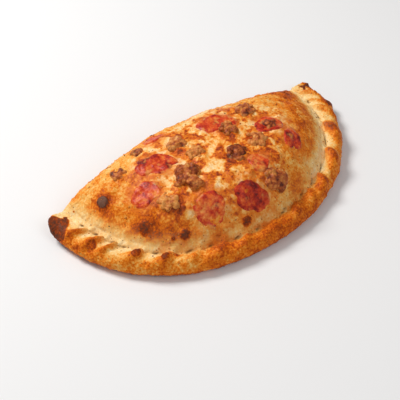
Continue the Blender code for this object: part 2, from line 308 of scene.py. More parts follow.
def grains(points, size, seed):
    """Closely packed round grains: 1 at a grain's middle, falling to 0 between grains.
    Also gives a number from 0 to 1 for each grain."""
    places = points / size
    low = np.floor(places).astype(np.int64)
    nearest_gap = np.full(len(points), 9.0)
    label = np.zeros(len(points))
    for offset in np.ndindex(3, 3, 3):
        cell = low + np.array(offset) - 1
        jitter = np.stack([cell_value(cell, seed + k * 57) for k in range(3)], axis=1)
        gap = np.linalg.norm(cell + jitter - places, axis=1)
        closer = gap < nearest_gap
        nearest_gap = np.where(closer, gap, nearest_gap)
        label = np.where(closer, cell_value(cell, seed + 311), label)
    return np.clip(1.0 - nearest_gap**2, 0.0, 1.0), label


# ---------------------------------------------------------------- outline and base form


def arc_lengths(points):
    steps = np.linalg.norm(np.diff(points, axis=0), axis=1)
    return np.concatenate(([0.0], np.cumsum(steps)))


def resampled(points, count):
    """count points evenly spaced from the first point of a line to its last."""
    along = arc_lengths(points)
    wanted = np.linspace(0.0, along[-1], count)
    return np.stack([np.interp(wanted, along, points[:, k]) for k in (0, 1)], axis=1)


def plan_outline():
    """The closed plan outline, from the right tip round the fold, then the pleated edge."""
    angle = np.linspace(0.0, 2.0 * math.pi, OUTLINE_SAMPLES, endpoint=False)
    c, s = np.cos(angle), np.sin(angle)
    front = s < 0.0
    fullness = RIGHT_FULLNESS + (LEFT_FULLNESS - RIGHT_FULLNESS) * smooth_step(-0.5, 0.5, -c)
    fullness = np.where(front, fullness, RIGHT_FULLNESS)
    x = HALF_LENGTH * np.sign(c) * np.abs(c) ** (2.0 / fullness)
    y = -EDGE_DEPTH * np.abs(s) ** (2.0 / fullness)
    stations = np.array(FOLD_STATIONS) * HALF_LENGTH
    y = np.where(front, y, np.interp(x, stations, FOLD_BULGES))
    points = np.stack((x, y), axis=1)
    points = resampled(np.vstack((points, points[:1])), OUTLINE_SAMPLES + 1)[:-1]
    for _ in range(ROUNDING_PASSES):  # rounds the tips and the fold's stations
        points = (np.roll(points, 1, 0) + 2.0 * points + np.roll(points, -1, 0)) / 4.0
    return points


def split_at_tips(outline):
    """The pleated edge, left tip to right tip, and the fold, right tip to left tip."""
    left = int(np.argmin(outline[:, 0]))
    right = int(np.argmax(outline[:, 0]))
    start = np.roll(outline, -left, axis=0)
    tip = (right - left) % len(outline)
    return start[: tip + 1], np.vstack((start[tip:], start[:1]))


def nearest(points, line):
    """Distance from each plan point to a line of points, and how far along it that is."""
    along = arc_lengths(line)
    best = np.full(len(points), np.inf)
    place = np.zeros(len(points))
    for start, end, begun in zip(line[:-1], line[1:], along):
        step = end - start
        length = np.linalg.norm(step)
        t = np.clip(((points - start) @ step) / length**2, 0.0, 1.0)
        gap = np.linalg.norm(points - start - t[:, None] * step, axis=1)
        closer = gap < best
        best = np.where(closer, gap, best)
        place = np.where(closer, begun + t * length, place)
    return best, place


def rim_distances(plan):
    """Distance in from the pleated edge, stretched so that the seam is RIM_WIDTH in
    everywhere, and the place along the edge."""
    inward, along = nearest(plan, EDGE_LINE)
    seam = np.interp(along, SEAM_STATIONS, SEAM_DISTANCES)
    stretched = np.where(inward < seam, inward * RIM_WIDTH / seam, inward + RIM_WIDTH - seam)
    return stretched, along


def inside_outline(place):
    """Whether a plan place is inside the outline: an odd number of edges cross its row."""
    start, end = OUTLINE, np.roll(OUTLINE, -1, axis=0)
    spans = (start[:, 1] > place[1]) != (end[:, 1] > place[1])
    start, end = start[spans], end[spans]
    share = (place[1] - start[:, 1]) / (end[:, 1] - start[:, 1])
    return np.sum(start[:, 0] + share * (end[:, 0] - start[:, 0]) > place[0]) % 2 == 1


OUTLINE = plan_outline()
EDGE_LINE, FOLD_LINE = split_at_tips(OUTLINE)
EDGE_LINE, FOLD_LINE = resampled(EDGE_LINE, EDGE_POINTS), resampled(FOLD_LINE, FOLD_POINTS)


def rim_height(inward):
    """The rolled rim's section: a round outer side and a shorter fall to the seam."""
    half = RIM_WIDTH / 2.0
    outer = np.sqrt(np.clip(1.0 - (1.0 - inward / half) ** 2, 0.0, 1.0))
    inner = np.sqrt(np.clip(1.0 - (inward / half - 1.0) ** 2, 0.0, 1.0))
    rise = np.where(inward < half, RIM_HEIGHT - RIM_EDGE_HEIGHT, RIM_HEIGHT - SEAM_HEIGHT)
    foot = np.where(inward < half, RIM_EDGE_HEIGHT, SEAM_HEIGHT)
    return foot + rise * np.where(inward < half, outer, inner)


def fold_height(ridge, from_fold):
    inward = np.clip(from_fold / FOLD_SLOPE_WIDTH, 0.0, 1.0)
    return FOLD_FOOT_HEIGHT + (ridge - FOLD_FOOT_HEIGHT) * np.sqrt(1.0 - (1.0 - inward) ** 2.2)


def dome_height(x, from_edge, from_fold):
    """The filled dome, which falls to the seam in front and round the fold behind."""
    lengthwise = np.clip(np.abs(x - DOME_PEAK_X) / (1.03 * HALF_LENGTH), 0.0, 1.0)
    ridge = np.maximum(DOME_HEIGHT * np.sqrt(1.0 - lengthwise**2.2), TIP_HEIGHT)
    front = np.clip((from_edge - 0.9 * RIM_WIDTH) / FRONT_SLOPE_WIDTH, 0.0, 1.0)
    front = SEAM_HEIGHT + (ridge - SEAM_HEIGHT) * np.sin(math.pi / 2.0 * front) ** 0.85
    return soft_min(front, fold_height(ridge, from_fold), 0.010)


def plain_top(plan, from_edge, from_fold):
    """Height of the smooth upper surface, without bubbles, pleats or fine roughness."""
    dome = dome_height(plan[:, 0], from_edge, from_fold)
    on_rim = soft_max(
        rim_height(from_edge), np.where(from_edge > 0.9 * RIM_WIDTH, dome, 0.0), 0.002
    )
    top = np.where(from_edge < 1.2 * RIM_WIDTH, on_rim, dome)
    top = soft_min(top, fold_height(np.full(len(plan), DOME_HEIGHT), from_fold), 0.002)
    flat = np.column_stack((plan, np.zeros(len(plan))))
    inside = smooth_step(0.002, 0.016, np.minimum(from_edge, from_fold))
    lumps = 0.0011 * noise(flat, 0.034, 3) + 0.0007 * noise(flat, 0.015, 4)
    return top + inside * lumps


def blister_places():
    """Where the bubbles' middles are on the smooth surface."""
    plan = np.array([spec[:2] for spec in BLISTERS])
    from_edge, _ = rim_distances(plan)
    from_fold, _ = nearest(plan, FOLD_LINE)
    return np.column_stack((plan, plain_top(plan, from_edge, from_fold)))


BLISTER_PLACES = blister_places()


def crust_top(plan, from_edge, from_fold):
    """Height of the upper surface with its bubbles, which have round tops and steep sides."""
    plain = plain_top(plan, from_edge, from_fold)
    rise = np.zeros(len(plan))
    for middle, (_, _, radius, height, _) in zip(BLISTER_PLACES, BLISTERS):
        share = np.linalg.norm(np.column_stack((plan, plain)) - middle, axis=1) / radius
        rise = np.maximum(rise, height * np.clip(1.0 - share**2.6, 0.0, 1.0) ** 0.8)
    return plain + rise


def crust_underside(from_edge, from_fold):
    """Height of the underside: flat, with a rounded undercut all round."""
    nearer_fold = smooth_step(0.3, 0.9, from_edge / (from_edge + from_fold + 1e-6))
    foot = RIM_EDGE_HEIGHT + (FOLD_FOOT_HEIGHT - RIM_EDGE_HEIGHT) * nearer_fold
    inward = np.clip(np.minimum(from_edge, from_fold) / UNDERCUT_WIDTH, 0.0, 1.0)
    return foot * (1.0 - np.sqrt(1.0 - (1.0 - inward) ** 2))


class SurfaceMap:
    """The smooth upper surface on a fine plan grid, looked up quickly."""

    def __init__(self):
        low = OUTLINE.min(axis=0) - MAP_MARGIN
        high = OUTLINE.max(axis=0) + MAP_MARGIN
        self.low = low
        self.counts = np.ceil((high - low) / MAP_STEP).astype(int) + 1
        xs = low[0] + MAP_STEP * np.arange(self.counts[0])
        ys = low[1] + MAP_STEP * np.arange(self.counts[1])
        plan = np.stack(np.meshgrid(xs, ys, indexing="ij"), axis=-1).reshape(-1, 2)
        from_edge, _ = rim_distances(plan)
        from_fold, _ = nearest(plan, FOLD_LINE)
        height = crust_top(plan, from_edge, from_fold)
        shape = tuple(self.counts)
        self.plain = plain_top(plan, from_edge, from_fold).reshape(shape)
        self.from_edge = from_edge.reshape(shape)
        self.from_fold = from_fold.reshape(shape)
        self.height = height.reshape(shape)
        self.slope_x, self.slope_y = np.gradient(self.height, MAP_STEP)

    def read(self, field, plan):
        """The field's value at plan points, between its grid points."""
        place = np.clip((plan - self.low) / MAP_STEP, 0.0, self.counts - 1.001)
        low = place.astype(int)
        part = place - low
        i, j = low[:, 0], low[:, 1]
        u, v = part[:, 0], part[:, 1]
        near = field[i, j] * (1.0 - u) + field[i + 1, j] * u
        far = field[i, j + 1] * (1.0 - u) + field[i + 1, j + 1] * u
        return near * (1.0 - v) + far * v

    def surface(self, plan):
        """Points on the smooth surface over plan points, with unit normals."""
        height = self.read(self.height, plan)
        slope_x, slope_y = self.read(self.slope_x, plan), self.read(self.slope_y, plan)
        normal = np.stack((-slope_x, -slope_y, np.ones(len(plan))), axis=1)
        normal /= np.linalg.norm(normal, axis=1)[:, None]
        return np.column_stack((plan, height)), normal


# ---------------------------------------------------------------- relief and baking


def pleat_relief(along, inward):
    """Rise of the pleats, and how brown their crests are."""
    inner = smooth_step(RIM_WIDTH + 0.005, RIM_WIDTH - 0.004, inward)
    rise = np.zeros_like(along)
    brown = np.zeros_like(along)
    for place, height, before, after, browning, reach in PLEATS:
        centre = place + PLEAT_SLANT * (inward - RIM_WIDTH / 2.0)
        taper = 1.0 - 0.50 * smooth_step(0.4, 1.1, inward / RIM_WIDTH)
        ridge = bump(along, centre, before * taper, after * taper)
        outer = reach + (1.0 - reach) * smooth_step(0.0005, 0.0075, inward)
        crease = bump(along, centre + 2.0 * after, CREASE_HALF_WIDTH)
        depth = CREASE_DEPTH * min(height / 0.003, 1.4)
        rise = np.maximum(rise, height * ridge * outer) - depth * crease * outer
        crest = bump(along, centre, before * 0.45, after * 0.9)
        brown = np.maximum(brown, browning * crest * (0.35 + 0.65 * outer))
    return rise * inner, brown * inner


def seam_relief(along, inward):
    """Depth of the slits where the seam gapes, from 0 to 1, which also sets their painted shade.
    """
    depth = np.zeros_like(along)
    for place, length in SEAM_GAPS:
        across = (inward - RIM_WIDTH - 0.16 * (along - place)) / 0.0005
        lengthwise = (along - place) / (0.5 * length)
        depth = np.maximum(depth, np.exp(-(across**2)) * np.clip(1.0 - lengthwise**2, 0.0, 1.0))
    return depth


def turned(plan, x, y, turn):
    """How far plan points are from (x, y) along two axes turned by an angle."""
    away = plan - (x, y)
    c, s = math.cos(turn), math.sin(turn)
    return away[:, 0] * c + away[:, 1] * s, -away[:, 0] * s + away[:, 1] * c


def patch(plan, x, y, half_x, half_y, turn):
    """A soft oval from 1 in its middle to 0."""
    u, v = turned(plan, x, y, turn)
    return np.exp(-((u / half_x) ** 2 + (v / half_y) ** 2))


def cheese_cover(plan):
    """How much cheese covers a plan point: 1 on the dome, 0 past the cheese's border."""
    flat = np.column_stack((plan, np.full(len(plan), 0.01)))
    away = (plan - CHEESE_CENTRE) / (CHEESE_HALF_LENGTH, CHEESE_HALF_DEPTH)
    share = np.linalg.norm(away, axis=1) / cheese_reach(np.arctan2(away[:, 1], away[:, 0]))
    share = share + 0.07 * layered_noise(flat, 0.016, 61)
    return 1.0 - smooth_step(0.70, 1.0, share)


def bake_level(plan, from_edge, places, plain):
    """How baked the dough and the cheese are: 0 pale, about 0.5 orange-brown, 1 charred.
    Gives the level, and the charred bubbles' own level."""
    cover = cheese_cover(plan)
    blotch = layered_noise(places, 0.011, 21)
    dough = 0.355 + 0.06 * layered_noise(places, 0.026, 51)
    dough += 0.085 * layered_noise(places, 0.0075, 52)
    broad = layered_noise(places, 0.0100, 66)
    spots = layered_noise(places, 0.0042, 68)
    cheese = 0.315 + 0.23 * smooth_step(0.00, 0.34, broad) + 0.20 * smooth_step(0.20, 0.46, spots)
    cheese += 0.08 * layered_noise(places, 0.024, 67) - 0.17 * smooth_step(0.02, 0.4, -broad)
    level = dough + (cheese - dough) * smooth_step(0.0, 0.8, cover)
    charred = np.zeros(len(plan))
    for x, y, half_x, half_y, turn, strength in TOASTED:
        level += strength * patch(plan, x, y, half_x, half_y, turn) * (1.0 + 0.5 * blotch)
    shoulder = smooth_step(0.036, 0.066, plan[:, 0] + 0.006 * blotch)
    band = smooth_step(0.019, 0.027, from_edge) * smooth_step(0.056, 0.040, from_edge)
    level += 0.15 * shoulder * band * (1.0 + 0.5 * blotch)
    for x, y, radius, _, _, _ in SAUSAGE:
        away = np.hypot(plan[:, 0] - x, plan[:, 1] - y) / (radius + 0.0030)
        level += 0.05 * np.exp(-(away**4)) * (1.0 + 0.8 * blotch)
    on_plain = np.column_stack((plan, plain))
    for middle, (_, _, radius, _, char) in zip(BLISTER_PLACES, BLISTERS):
        away = np.linalg.norm(on_plain - middle, axis=1) / radius
        level += 0.14 * np.exp(-((away / 1.7) ** 2)) * (1.0 + 0.5 * blotch)
        rim_dark = 0.16 * (char > 0.9) * smooth_step(0.45, 0.85, away)
        core = char - rim_dark + 0.04 * blotch
        charred = np.maximum(charred, core * smooth_step(1.18, 0.72, away + 0.18 * blotch))
    return level, charred


def baked(level, charred):
    """A bake level held below the scorched colours, with the charred bubbles over it."""
    return np.maximum(soft_min(level, np.full(len(level), BAKE_LIMIT), 0.10), charred)


def unburnt(charred):
    """How much of its flour and oil a place shows: 1 where not charred, 0 where charred."""
    return 1.0 - smooth_step(BURNT_FROM, BURNT_TO, charred)


def oil_stain(plan, noise_points):
    """Orange oil that has run out round the pepperoni: 1 beside a slice, 0 far off."""
    wander = 0.0022 * noise(noise_points, 0.008, 31)
    stain = np.zeros(len(plan))
    for x, y, half_x, half_y, turn, _, _ in PEPPERONI:
        u, v = turned(plan, x, y, turn)
        distance = np.hypot(u, v * half_x / half_y) - half_x + wander
        stain = np.maximum(stain, 1.0 - smooth_step(0.0, 0.0044, distance))
    return stain


# ---------------------------------------------------------------- meshes


ORIGIN_SHIFT = np.array(
    [
        *((np.array(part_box("crust")[0]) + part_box("crust")[1])[:2] / 2.0
          - (OUTLINE.min(axis=0) + OUTLINE.max(axis=0)) / 2.0),
        0.0,
    ]
)


def placed(name, data):
    """A new object in the scene."""
    made = bpy.data.objects.new(name, data)
    bpy.context.scene.collection.objects.link(made)
    return made


def mesh_object(name, vertices, faces, attributes=None):
    """A smooth-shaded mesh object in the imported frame, with float vertex attributes."""
    mesh = bpy.data.meshes.new(name)
    mesh.from_pydata((vertices + ORIGIN_SHIFT).tolist(), [], faces)
    mesh.shade_smooth()
    for key, values in (attributes or {}).items():
        layer = mesh.attributes.new(key, "FLOAT", "POINT")
        layer.data.foreach_set("value", np.asarray(values, dtype=np.float32))
    return placed(name, mesh)


def ring_faces(rings, ring_size, closed_ends=True):
    """Faces between closed rings of vertices. With closed ends, the vertices after the last
    ring are a pole before the first ring and a pole after the last."""
    index = np.arange(rings * ring_size).reshape(rings, ring_size)
    ahead = np.roll(index, -1, axis=1)
    quads = np.stack((index[:-1], ahead[:-1], ahead[1:], index[1:]), axis=-1).reshape(-1, 4)
    faces = quads.tolist()
    if closed_ends:
        first, last = rings * ring_size, rings * ring_size + 1
        faces += [[first, b, a] for a, b in zip(index[0], ahead[0])]
        faces += [[last, a, b] for a, b in zip(index[-1], ahead[-1])]
    return faces


def vertex_normals(vertices, faces):
    """Area-weighted unit normals of a mesh's vertices."""
    total = np.zeros_like(vertices)
    for size in (3, 4):
        corners = np.array([f for f in faces if len(f) == size])
        if len(corners) == 0:
            continue
        first = vertices[corners[:, 2]] - vertices[corners[:, 0]]
        second = vertices[corners[:, size - 1]] - vertices[corners[:, 1]]
        normal = np.cross(first, second)
        for k in range(size):
            np.add.at(total, corners[:, k], normal)
    return total / np.maximum(np.linalg.norm(total, axis=1), 1e-15)[:, None]


def swollen(places):
    """The places after the local pushes that shape the tips."""
    moved = places.copy()
    for centre, radius, push in SWELLS:
        share = np.exp(-np.sum(((places - centre) / radius) ** 2, axis=1))
        moved += share[:, None] * np.array(push) * smooth_step(0.0, 0.004, places[:, 2:3])
    return moved


def crust_rings():
    """Plan places and base heights of the crust's rings, which run round its section from
    the pleated edge over the dome to the fold, and back underneath."""
    edge = resampled(EDGE_LINE, CRUST_COLUMNS + 2)
    fold = resampled(FOLD_LINE, CRUST_COLUMNS + 2)[::-1]
    over = np.linspace(0.0, 1.0, CRUST_TOP_ROWS)
    over = 0.55 * (0.5 - 0.5 * np.cos(math.pi * over)) + 0.45 * over**1.25
    under = 0.5 + 0.5 * np.cos(math.pi * np.linspace(0.0, 1.0, CRUST_BOTTOM_ROWS + 2)[1:-1])
    share = np.concatenate((over, under))
    start, end = edge[1:-1, None, :], fold[1:-1, None, :]
    plan = (start + (end - start) * share[None, :, None]).reshape(-1, 2)
    is_top = np.tile(np.arange(len(share)) < CRUST_TOP_ROWS, CRUST_COLUMNS)
    return plan, is_top, len(share), edge[0], edge[-1]


def make_crust():
    plan, is_top, ring_size, left_tip, right_tip = crust_rings()
    poles = np.array((left_tip, right_tip))
    plan = np.vstack((plan, poles))
    from_edge, along = rim_distances(plan)
    from_fold, _ = nearest(plan, FOLD_LINE)
    top = crust_top(plan, from_edge, from_fold)
    under = crust_underside(from_edge, from_fold)
    is_top = np.append(is_top, (True, True))
    height = np.where(is_top, top, under)
    height[-2:] = RIM_EDGE_HEIGHT
    base = np.column_stack((plan, height))
    faces = ring_faces(CRUST_COLUMNS, ring_size)
    normal = vertex_normals(base, faces)
    if normal[np.argmax(base[:, 2]), 2] < 0.0:
        faces = [face[::-1] for face in faces]
        normal = -normal

    pleat, crest = pleat_relief(along, from_edge)
    # The slits are sunk a little and darkened with painted shade for the shadow inside them.
    gap_depth_and_shade = seam_relief(along, from_edge) * is_top
    groove = bump(from_edge, 0.0182, 0.0009) * is_top * (0.6 + 0.8 * noise(base, 0.009, 40))
    above = smooth_step(0.0003, 0.004, height)
    grain, _ = grains(base, 0.0024, 41)
    rough = 0.00055 * layered_noise(base, 0.0080, 42) + 0.00034 * (grain - 0.5)
    rough += 0.00026 * noise(base, 0.0015, 43)
    knobs = 0.0010 * np.clip(noise(base, 0.0050, 44) - 0.30, 0.0, 1.0)
    relief = pleat * above * is_top + (rough + knobs) * above
    relief -= SEAM_GAP_DEPTH * gap_depth_and_shade + SEAM_GROOVE_DEPTH * np.clip(groove, 0.0, 1.5)
    vertices = swollen(base + normal * relief[:, None])

    plain = plain_top(plan, from_edge, from_fold)
    level, charred = bake_level(plan, from_edge, base, plain)
    on_rim = smooth_step(RIM_WIDTH + 0.001, RIM_WIDTH - 0.004, from_edge)
    ends = smooth_step(0.150, 0.080, along) + smooth_step(0.235, 0.280, along)
    floury = bump(from_edge, RIM_WIDTH + 0.0018, 0.0050, 0.0062) * is_top
    floury *= 0.30 + 0.70 * np.clip(ends, 0.0, 1.0)
    level += (0.18 - 0.09 * ends) * on_rim + 0.75 * crest - 0.27 * floury
    hollow = np.clip(0.0012 - pleat, 0.0, 0.0012) / 0.0012
    level -= 0.26 * hollow * ends * on_rim * smooth_step(0.003, 0.008, from_edge)
    low = smooth_step(0.008, 0.001, height)
    level += 0.12 * low
    scorch = np.clip(noise(base, 0.009, 53) - 0.30, 0.0, 1.0) * smooth_step(0.0045, 0.0015, height)
    charred = np.maximum(charred, 0.95 * smooth_step(0.05, 0.25, scorch) * ~is_top)
    behind = smooth_step(0.020, 0.004, from_fold)
    level += 0.08 * behind
    bumps = np.clip(noise(base, 0.0060, 54) - 0.42, 0.0, 1.0) * behind
    charred = np.maximum(charred, 0.82 * smooth_step(0.05, 0.20, bumps))
    wander = 0.25 * noise(base, 0.006, 55)
    mottle = 0.06 * noise(base, 0.0045, 57)
    for x, y, radius, dark in SCORCHES:
        away = np.linalg.norm(plan - (x, y), axis=1) / radius + wander
        charred = np.maximum(charred, (dark + mottle) * smooth_step(1.10, 0.78, away))
    bake = baked(level, charred)
    shown = unburnt(charred)
    made = mesh_object(
        "baked_crust",
        vertices,
        faces,
        {
            "bake": bake,
            "flour": floury * shown,
            "cover": cheese_cover(plan) * is_top,
            "oil": oil_stain(plan, base) * is_top * shown,
            "gap_depth_and_shade": gap_depth_and_shade,
        },
    )
    made.data.materials.append(crust_material())
    return made


def cheese_reach(angle):
    """How far the cheese spreads at an angle, as a share of its half sizes."""
    return 1.0 + sum(size * np.sin(count * angle + phase) for count, size, phase in CHEESE_WAVES)


def cheese_level(plan):
    """Height of the cheese's surface above the smooth crust, below 0 past its border."""
    flat = np.column_stack((plan, np.full(len(plan), 0.01)))
    cover = cheese_cover(plan)
    level = -CHEESE_SINK + cover * (CHEESE_THICKNESS + CHEESE_SINK)
    level += cover * (0.00065 * noise(flat, 0.013, 62) + 0.00055 * noise(flat, 0.0060, 63))
    for x, y, radius, _, _, coated in SAUSAGE:
        away = np.linalg.norm(plan - (x, y), axis=1)
        level += (0.0008 + 0.0012 * coated) * cover * np.exp(-((away / (radius + 0.002)) ** 2))
    return level


def make_cheese(surface):
    """A disc of cheese over the dome whose border dips under the crust's surface."""
    turn = np.linspace(0.0, 2.0 * math.pi, CHEESE_TURNS, endpoint=False)
    reach = np.linspace(0.0, 1.0, CHEESE_RINGS + 1)[1:] ** 0.75
    beneath = np.linspace(1.0, 0.0, 8)[1:-1]
    share = np.concatenate((reach, beneath))
    top = np.arange(len(share)) < CHEESE_RINGS
    scale = 1.03 * share[:, None] * cheese_reach(turn)[None, :]
    x = CHEESE_CENTRE[0] + CHEESE_HALF_LENGTH * scale * np.cos(turn)
    y = CHEESE_CENTRE[1] + CHEESE_HALF_DEPTH * scale * np.sin(turn)
    plan = np.vstack((np.stack((x, y), axis=-1).reshape(-1, 2), CHEESE_CENTRE, CHEESE_CENTRE))
    is_top = np.append(np.repeat(top, CHEESE_TURNS), (True, False))
    places, normal = surface.surface(plan)
    from_edge = surface.read(surface.from_edge, plan)
    grain, _ = grains(places, 0.0030, 64)
    level = cheese_level(plan)
    fine = 0.00016 * layered_noise(places, 0.0032, 65) + 0.00012 * grain
    level = np.where(is_top, level + fine, np.minimum(level, 0.0) - 0.0012)
    vertices = places + normal * level[:, None]
    lumps = 0.0011 * np.clip(noise(places, 0.0062, 69) - 0.12, 0.0, 1.0)
    vertices += normal * (lumps * is_top * cheese_cover(plan))[:, None]
    plain = surface.read(surface.plain, plan)
    level_baked, charred = bake_level(plan, from_edge, places, plain)
    made = mesh_object(
        "melted_cheese",
        vertices,
        disc_faces(len(share), CHEESE_TURNS),
        {
            "bake": baked(level_baked, charred),
            "cover": cheese_cover(plan),
            "oil": oil_stain(plan, places) * unburnt(charred),
        },
    )
    made.data.materials.append(cheese_material())
    return made


def disc_faces(rings, ring_size):
    """Faces of a closed disc. Its rings run from the middle of the top over the border to the
    middle of the underside, and the two middles are the vertices after the rings."""
    first, last = rings * ring_size, rings * ring_size + 1
    start = np.arange(ring_size)
    ahead = np.roll(start, -1)
    begin = (rings - 1) * ring_size
    faces = ring_faces(rings, ring_size, closed_ends=False)
    faces += [[first, b, a] for a, b in zip(start, ahead)]
    return faces + [[last, begin + a, begin + b] for a, b in zip(start, ahead)]


def wobble(angle, random, size):
    """An uneven radius near 1, different for each piece."""
    radius = np.ones_like(angle)
    for count in (2, 3, 5, 8):
        phase, share = random.uniform(0.0, 2.0 * math.pi), random.uniform(0.4, 1.0)
        radius += size * share / count * np.sin(count * angle + phase)
    return radius


def tangents(surface, centre):
    """The surface's point over a plan place, its normal and two directions across that."""
    point, normal = surface.surface(np.array((centre,)))
    along = np.cross((0.0, 1.0, 0.0), normal[0])
    along /= np.linalg.norm(along)
    return point[0], normal[0], along, np.cross(normal[0], along)


def tangent_plan(surface, centre, offsets):
    """Plan points of offsets laid out in the surface's tangent plane at a centre."""
    _, _, along, across = tangents(surface, centre)
    return np.array(centre) + offsets[:, :1] * along[:2] + offsets[:, 1:] * across[:2]


def make_slice(surface, number, spec, random):
    """A pepperoni slice, pressed into the cheese, with an uneven, slightly cupped border."""
    x, y, half_x, half_y, turn, red, covered = spec
    angle = np.linspace(0.0, 2.0 * math.pi, SLICE_TURNS, endpoint=False)
    outward = np.linspace(0.0, 1.0, SLICE_RINGS + 1)[1:] ** 0.8
    back = np.linspace(1.0, 0.0, 6)[1:-1]
    share = np.concatenate((outward, back))
    is_top = np.append(np.repeat(np.arange(len(share)) < SLICE_RINGS, SLICE_TURNS), (True, False))
    radius = share[:, None] * wobble(angle, random, SLICE_WOBBLE)[None, :]
    u = (radius * half_x * np.cos(angle)).ravel()
    v = (radius * half_y * np.sin(angle)).ravel()
    c, s = math.cos(turn), math.sin(turn)
    offsets = np.stack((u * c - v * s, u * s + v * c), axis=1)
    offsets = np.vstack((offsets, (0.0, 0.0), (0.0, 0.0)))
    plan = tangent_plan(surface, (x, y), offsets)
    places, normal = surface.surface(plan)
    out = np.append(np.repeat(share, SLICE_TURNS), (0.0, 0.0))
    wrinkle = 0.00034 * noise(places, 0.0052, 71 + number) + 0.00016 * noise(places, 0.0021, 72)
    rise = PEPPERONI_THICKNESS * (0.62 + 0.30 * out**3) + wrinkle
    rise += 0.0003 * noise(places, 0.010, 73 + number)
    rim = smooth_step(0.72, 1.0, out)
    rise = rise * (1.0 - rim) - 0.0006 * rim
    rise = np.where(is_top, rise, -0.0012)
    level = cheese_level(plan) + rise
    mottle = layered_noise(places, 0.0068, 81 + number)
    arcs = smooth_step(0.66, 0.90, out) * smooth_step(0.0, 0.4, noise(places, 0.012, 85 + number))
    ruddy = red + 0.42 * mottle + 0.12 * arcs
    ragged = smooth_step(0.55, 1.0, out) * (0.10 + 1.3 * noise(places, 0.0070, 87 + number))
    cheesy = covered + 0.66 * layered_noise(places, 0.0080, 91 + number) - 0.36 + ragged
    made = mesh_object(
        f"pepperoni_slice_{number}",
        places + normal * level[:, None],
        disc_faces(len(share), SLICE_TURNS),
        {"red": ruddy, "cheesy": np.clip(cheesy * 3.0, 0.0, 1.0), "out": out},
    )
    made.data.materials.append(pepperoni_material())
    return made


def blob_cloud(random, radius, height):
    """Middles and radii of the small crumbs that a lump of sausage is made of."""
    blobs = [(0.0, 0.0, 0.0, 0.58 * radius)]
    for _ in range(LUMP_CRUMBS):
        turn, reach = random.uniform(0.0, 2.0 * math.pi), math.sqrt(random.uniform(0.0, 1.0))
        size = random.uniform(0.17, 0.42) * radius
        out = reach * (radius - size * 0.6)
        lift = (1.0 - 0.55 * reach * reach) * (height - size) * random.uniform(0.55, 1.0)
        blobs.append((out * math.cos(turn), out * math.sin(turn), lift, size))
    return blobs


def fused(blobs):
    """The vertices and faces of round blobs melted into one closed skin."""
    ball = bpy.data.meshes.new("ball")
    made = bmesh.new()
    for x, y, z, size in blobs:
        bmesh.ops.create_icosphere(
            made, subdivisions=2, radius=size, matrix=Matrix.Translation((x, y, z))
        )
    made.to_mesh(ball)
    made.free()
    holder = placed("ball", ball)
    remesh = holder.modifiers.new("skin", "REMESH")
    remesh.mode = "VOXEL"
    remesh.voxel_size = LUMP_VOXEL
    smooth = holder.modifiers.new("soften", "SMOOTH")
    smooth.iterations = 6
    finished = holder.evaluated_get(bpy.context.evaluated_depsgraph_get())
    solid = bpy.data.meshes.new_from_object(finished)
    vertices = np.array([v.co for v in solid.vertices])
    faces = [list(p.vertices) for p in solid.polygons]
    bpy.data.objects.remove(holder)
    return vertices, faces


def make_lump(surface, number, spec, random):
    """A lump of sausage: crumbs fused into one rough skin and sunk into the cheese."""
    x, y, radius, height, dark, coated = spec
    blobs = blob_cloud(random, radius, height + LUMP_SINK)
    vertices, faces = fused(blobs)
    middle, normal, along, across = tangents(surface, (x, y))
    level = cheese_level(np.array(((x, y),)))[0]
    rise = vertices[:, 2] + level - LUMP_SINK
    places = middle + vertices[:, :1] * along + vertices[:, 1:2] * across
    bent, bent_normal = surface.surface(places[:, :2])
    places = bent + bent_normal * rise[:, None]
    own_normal = vertex_normals(places, faces)
    if np.sum(own_normal * (places - places.mean(axis=0))) < 0.0:
        faces = [face[::-1] for face in faces]
        own_normal = -own_normal
    grain, label = grains(places, 0.0028, 101 + number)
    rough = 0.00062 * (grain - 0.45) + 0.00115 * noise(places, 0.0046, 103 + number)
    rough += 0.00030 * noise(places, 0.0014, 104 + number)
    # Painted light and shade: skin that faces up and the crumbs' middles are made lighter, the
    # crevices between crumbs darker.
    lit_tops_and_crevice_shade = 1.0 * grain + 0.40 * own_normal @ normal
    low = 1.0 - smooth_step(0.0002, 0.0017, rise - level + 0.0011 * noise(places, 0.004, 109))
    coat = coated + 0.75 * layered_noise(places, 0.0065, 111 + number) - 0.30
    made = mesh_object(
        f"sausage_lump_{number}",
        places + own_normal * rough[:, None],
        faces,
        {
            "lit_tops_and_crevice_shade": lit_tops_and_crevice_shade,
            "label": label,
            "dark": dark + 0.50 * noise(places, 0.0056, 107 + number),
            "low": np.maximum(low, smooth_step(0.0, 0.30, coat) * 0.9),
        },
    )
    made.data.materials.append(sausage_material())
    return made


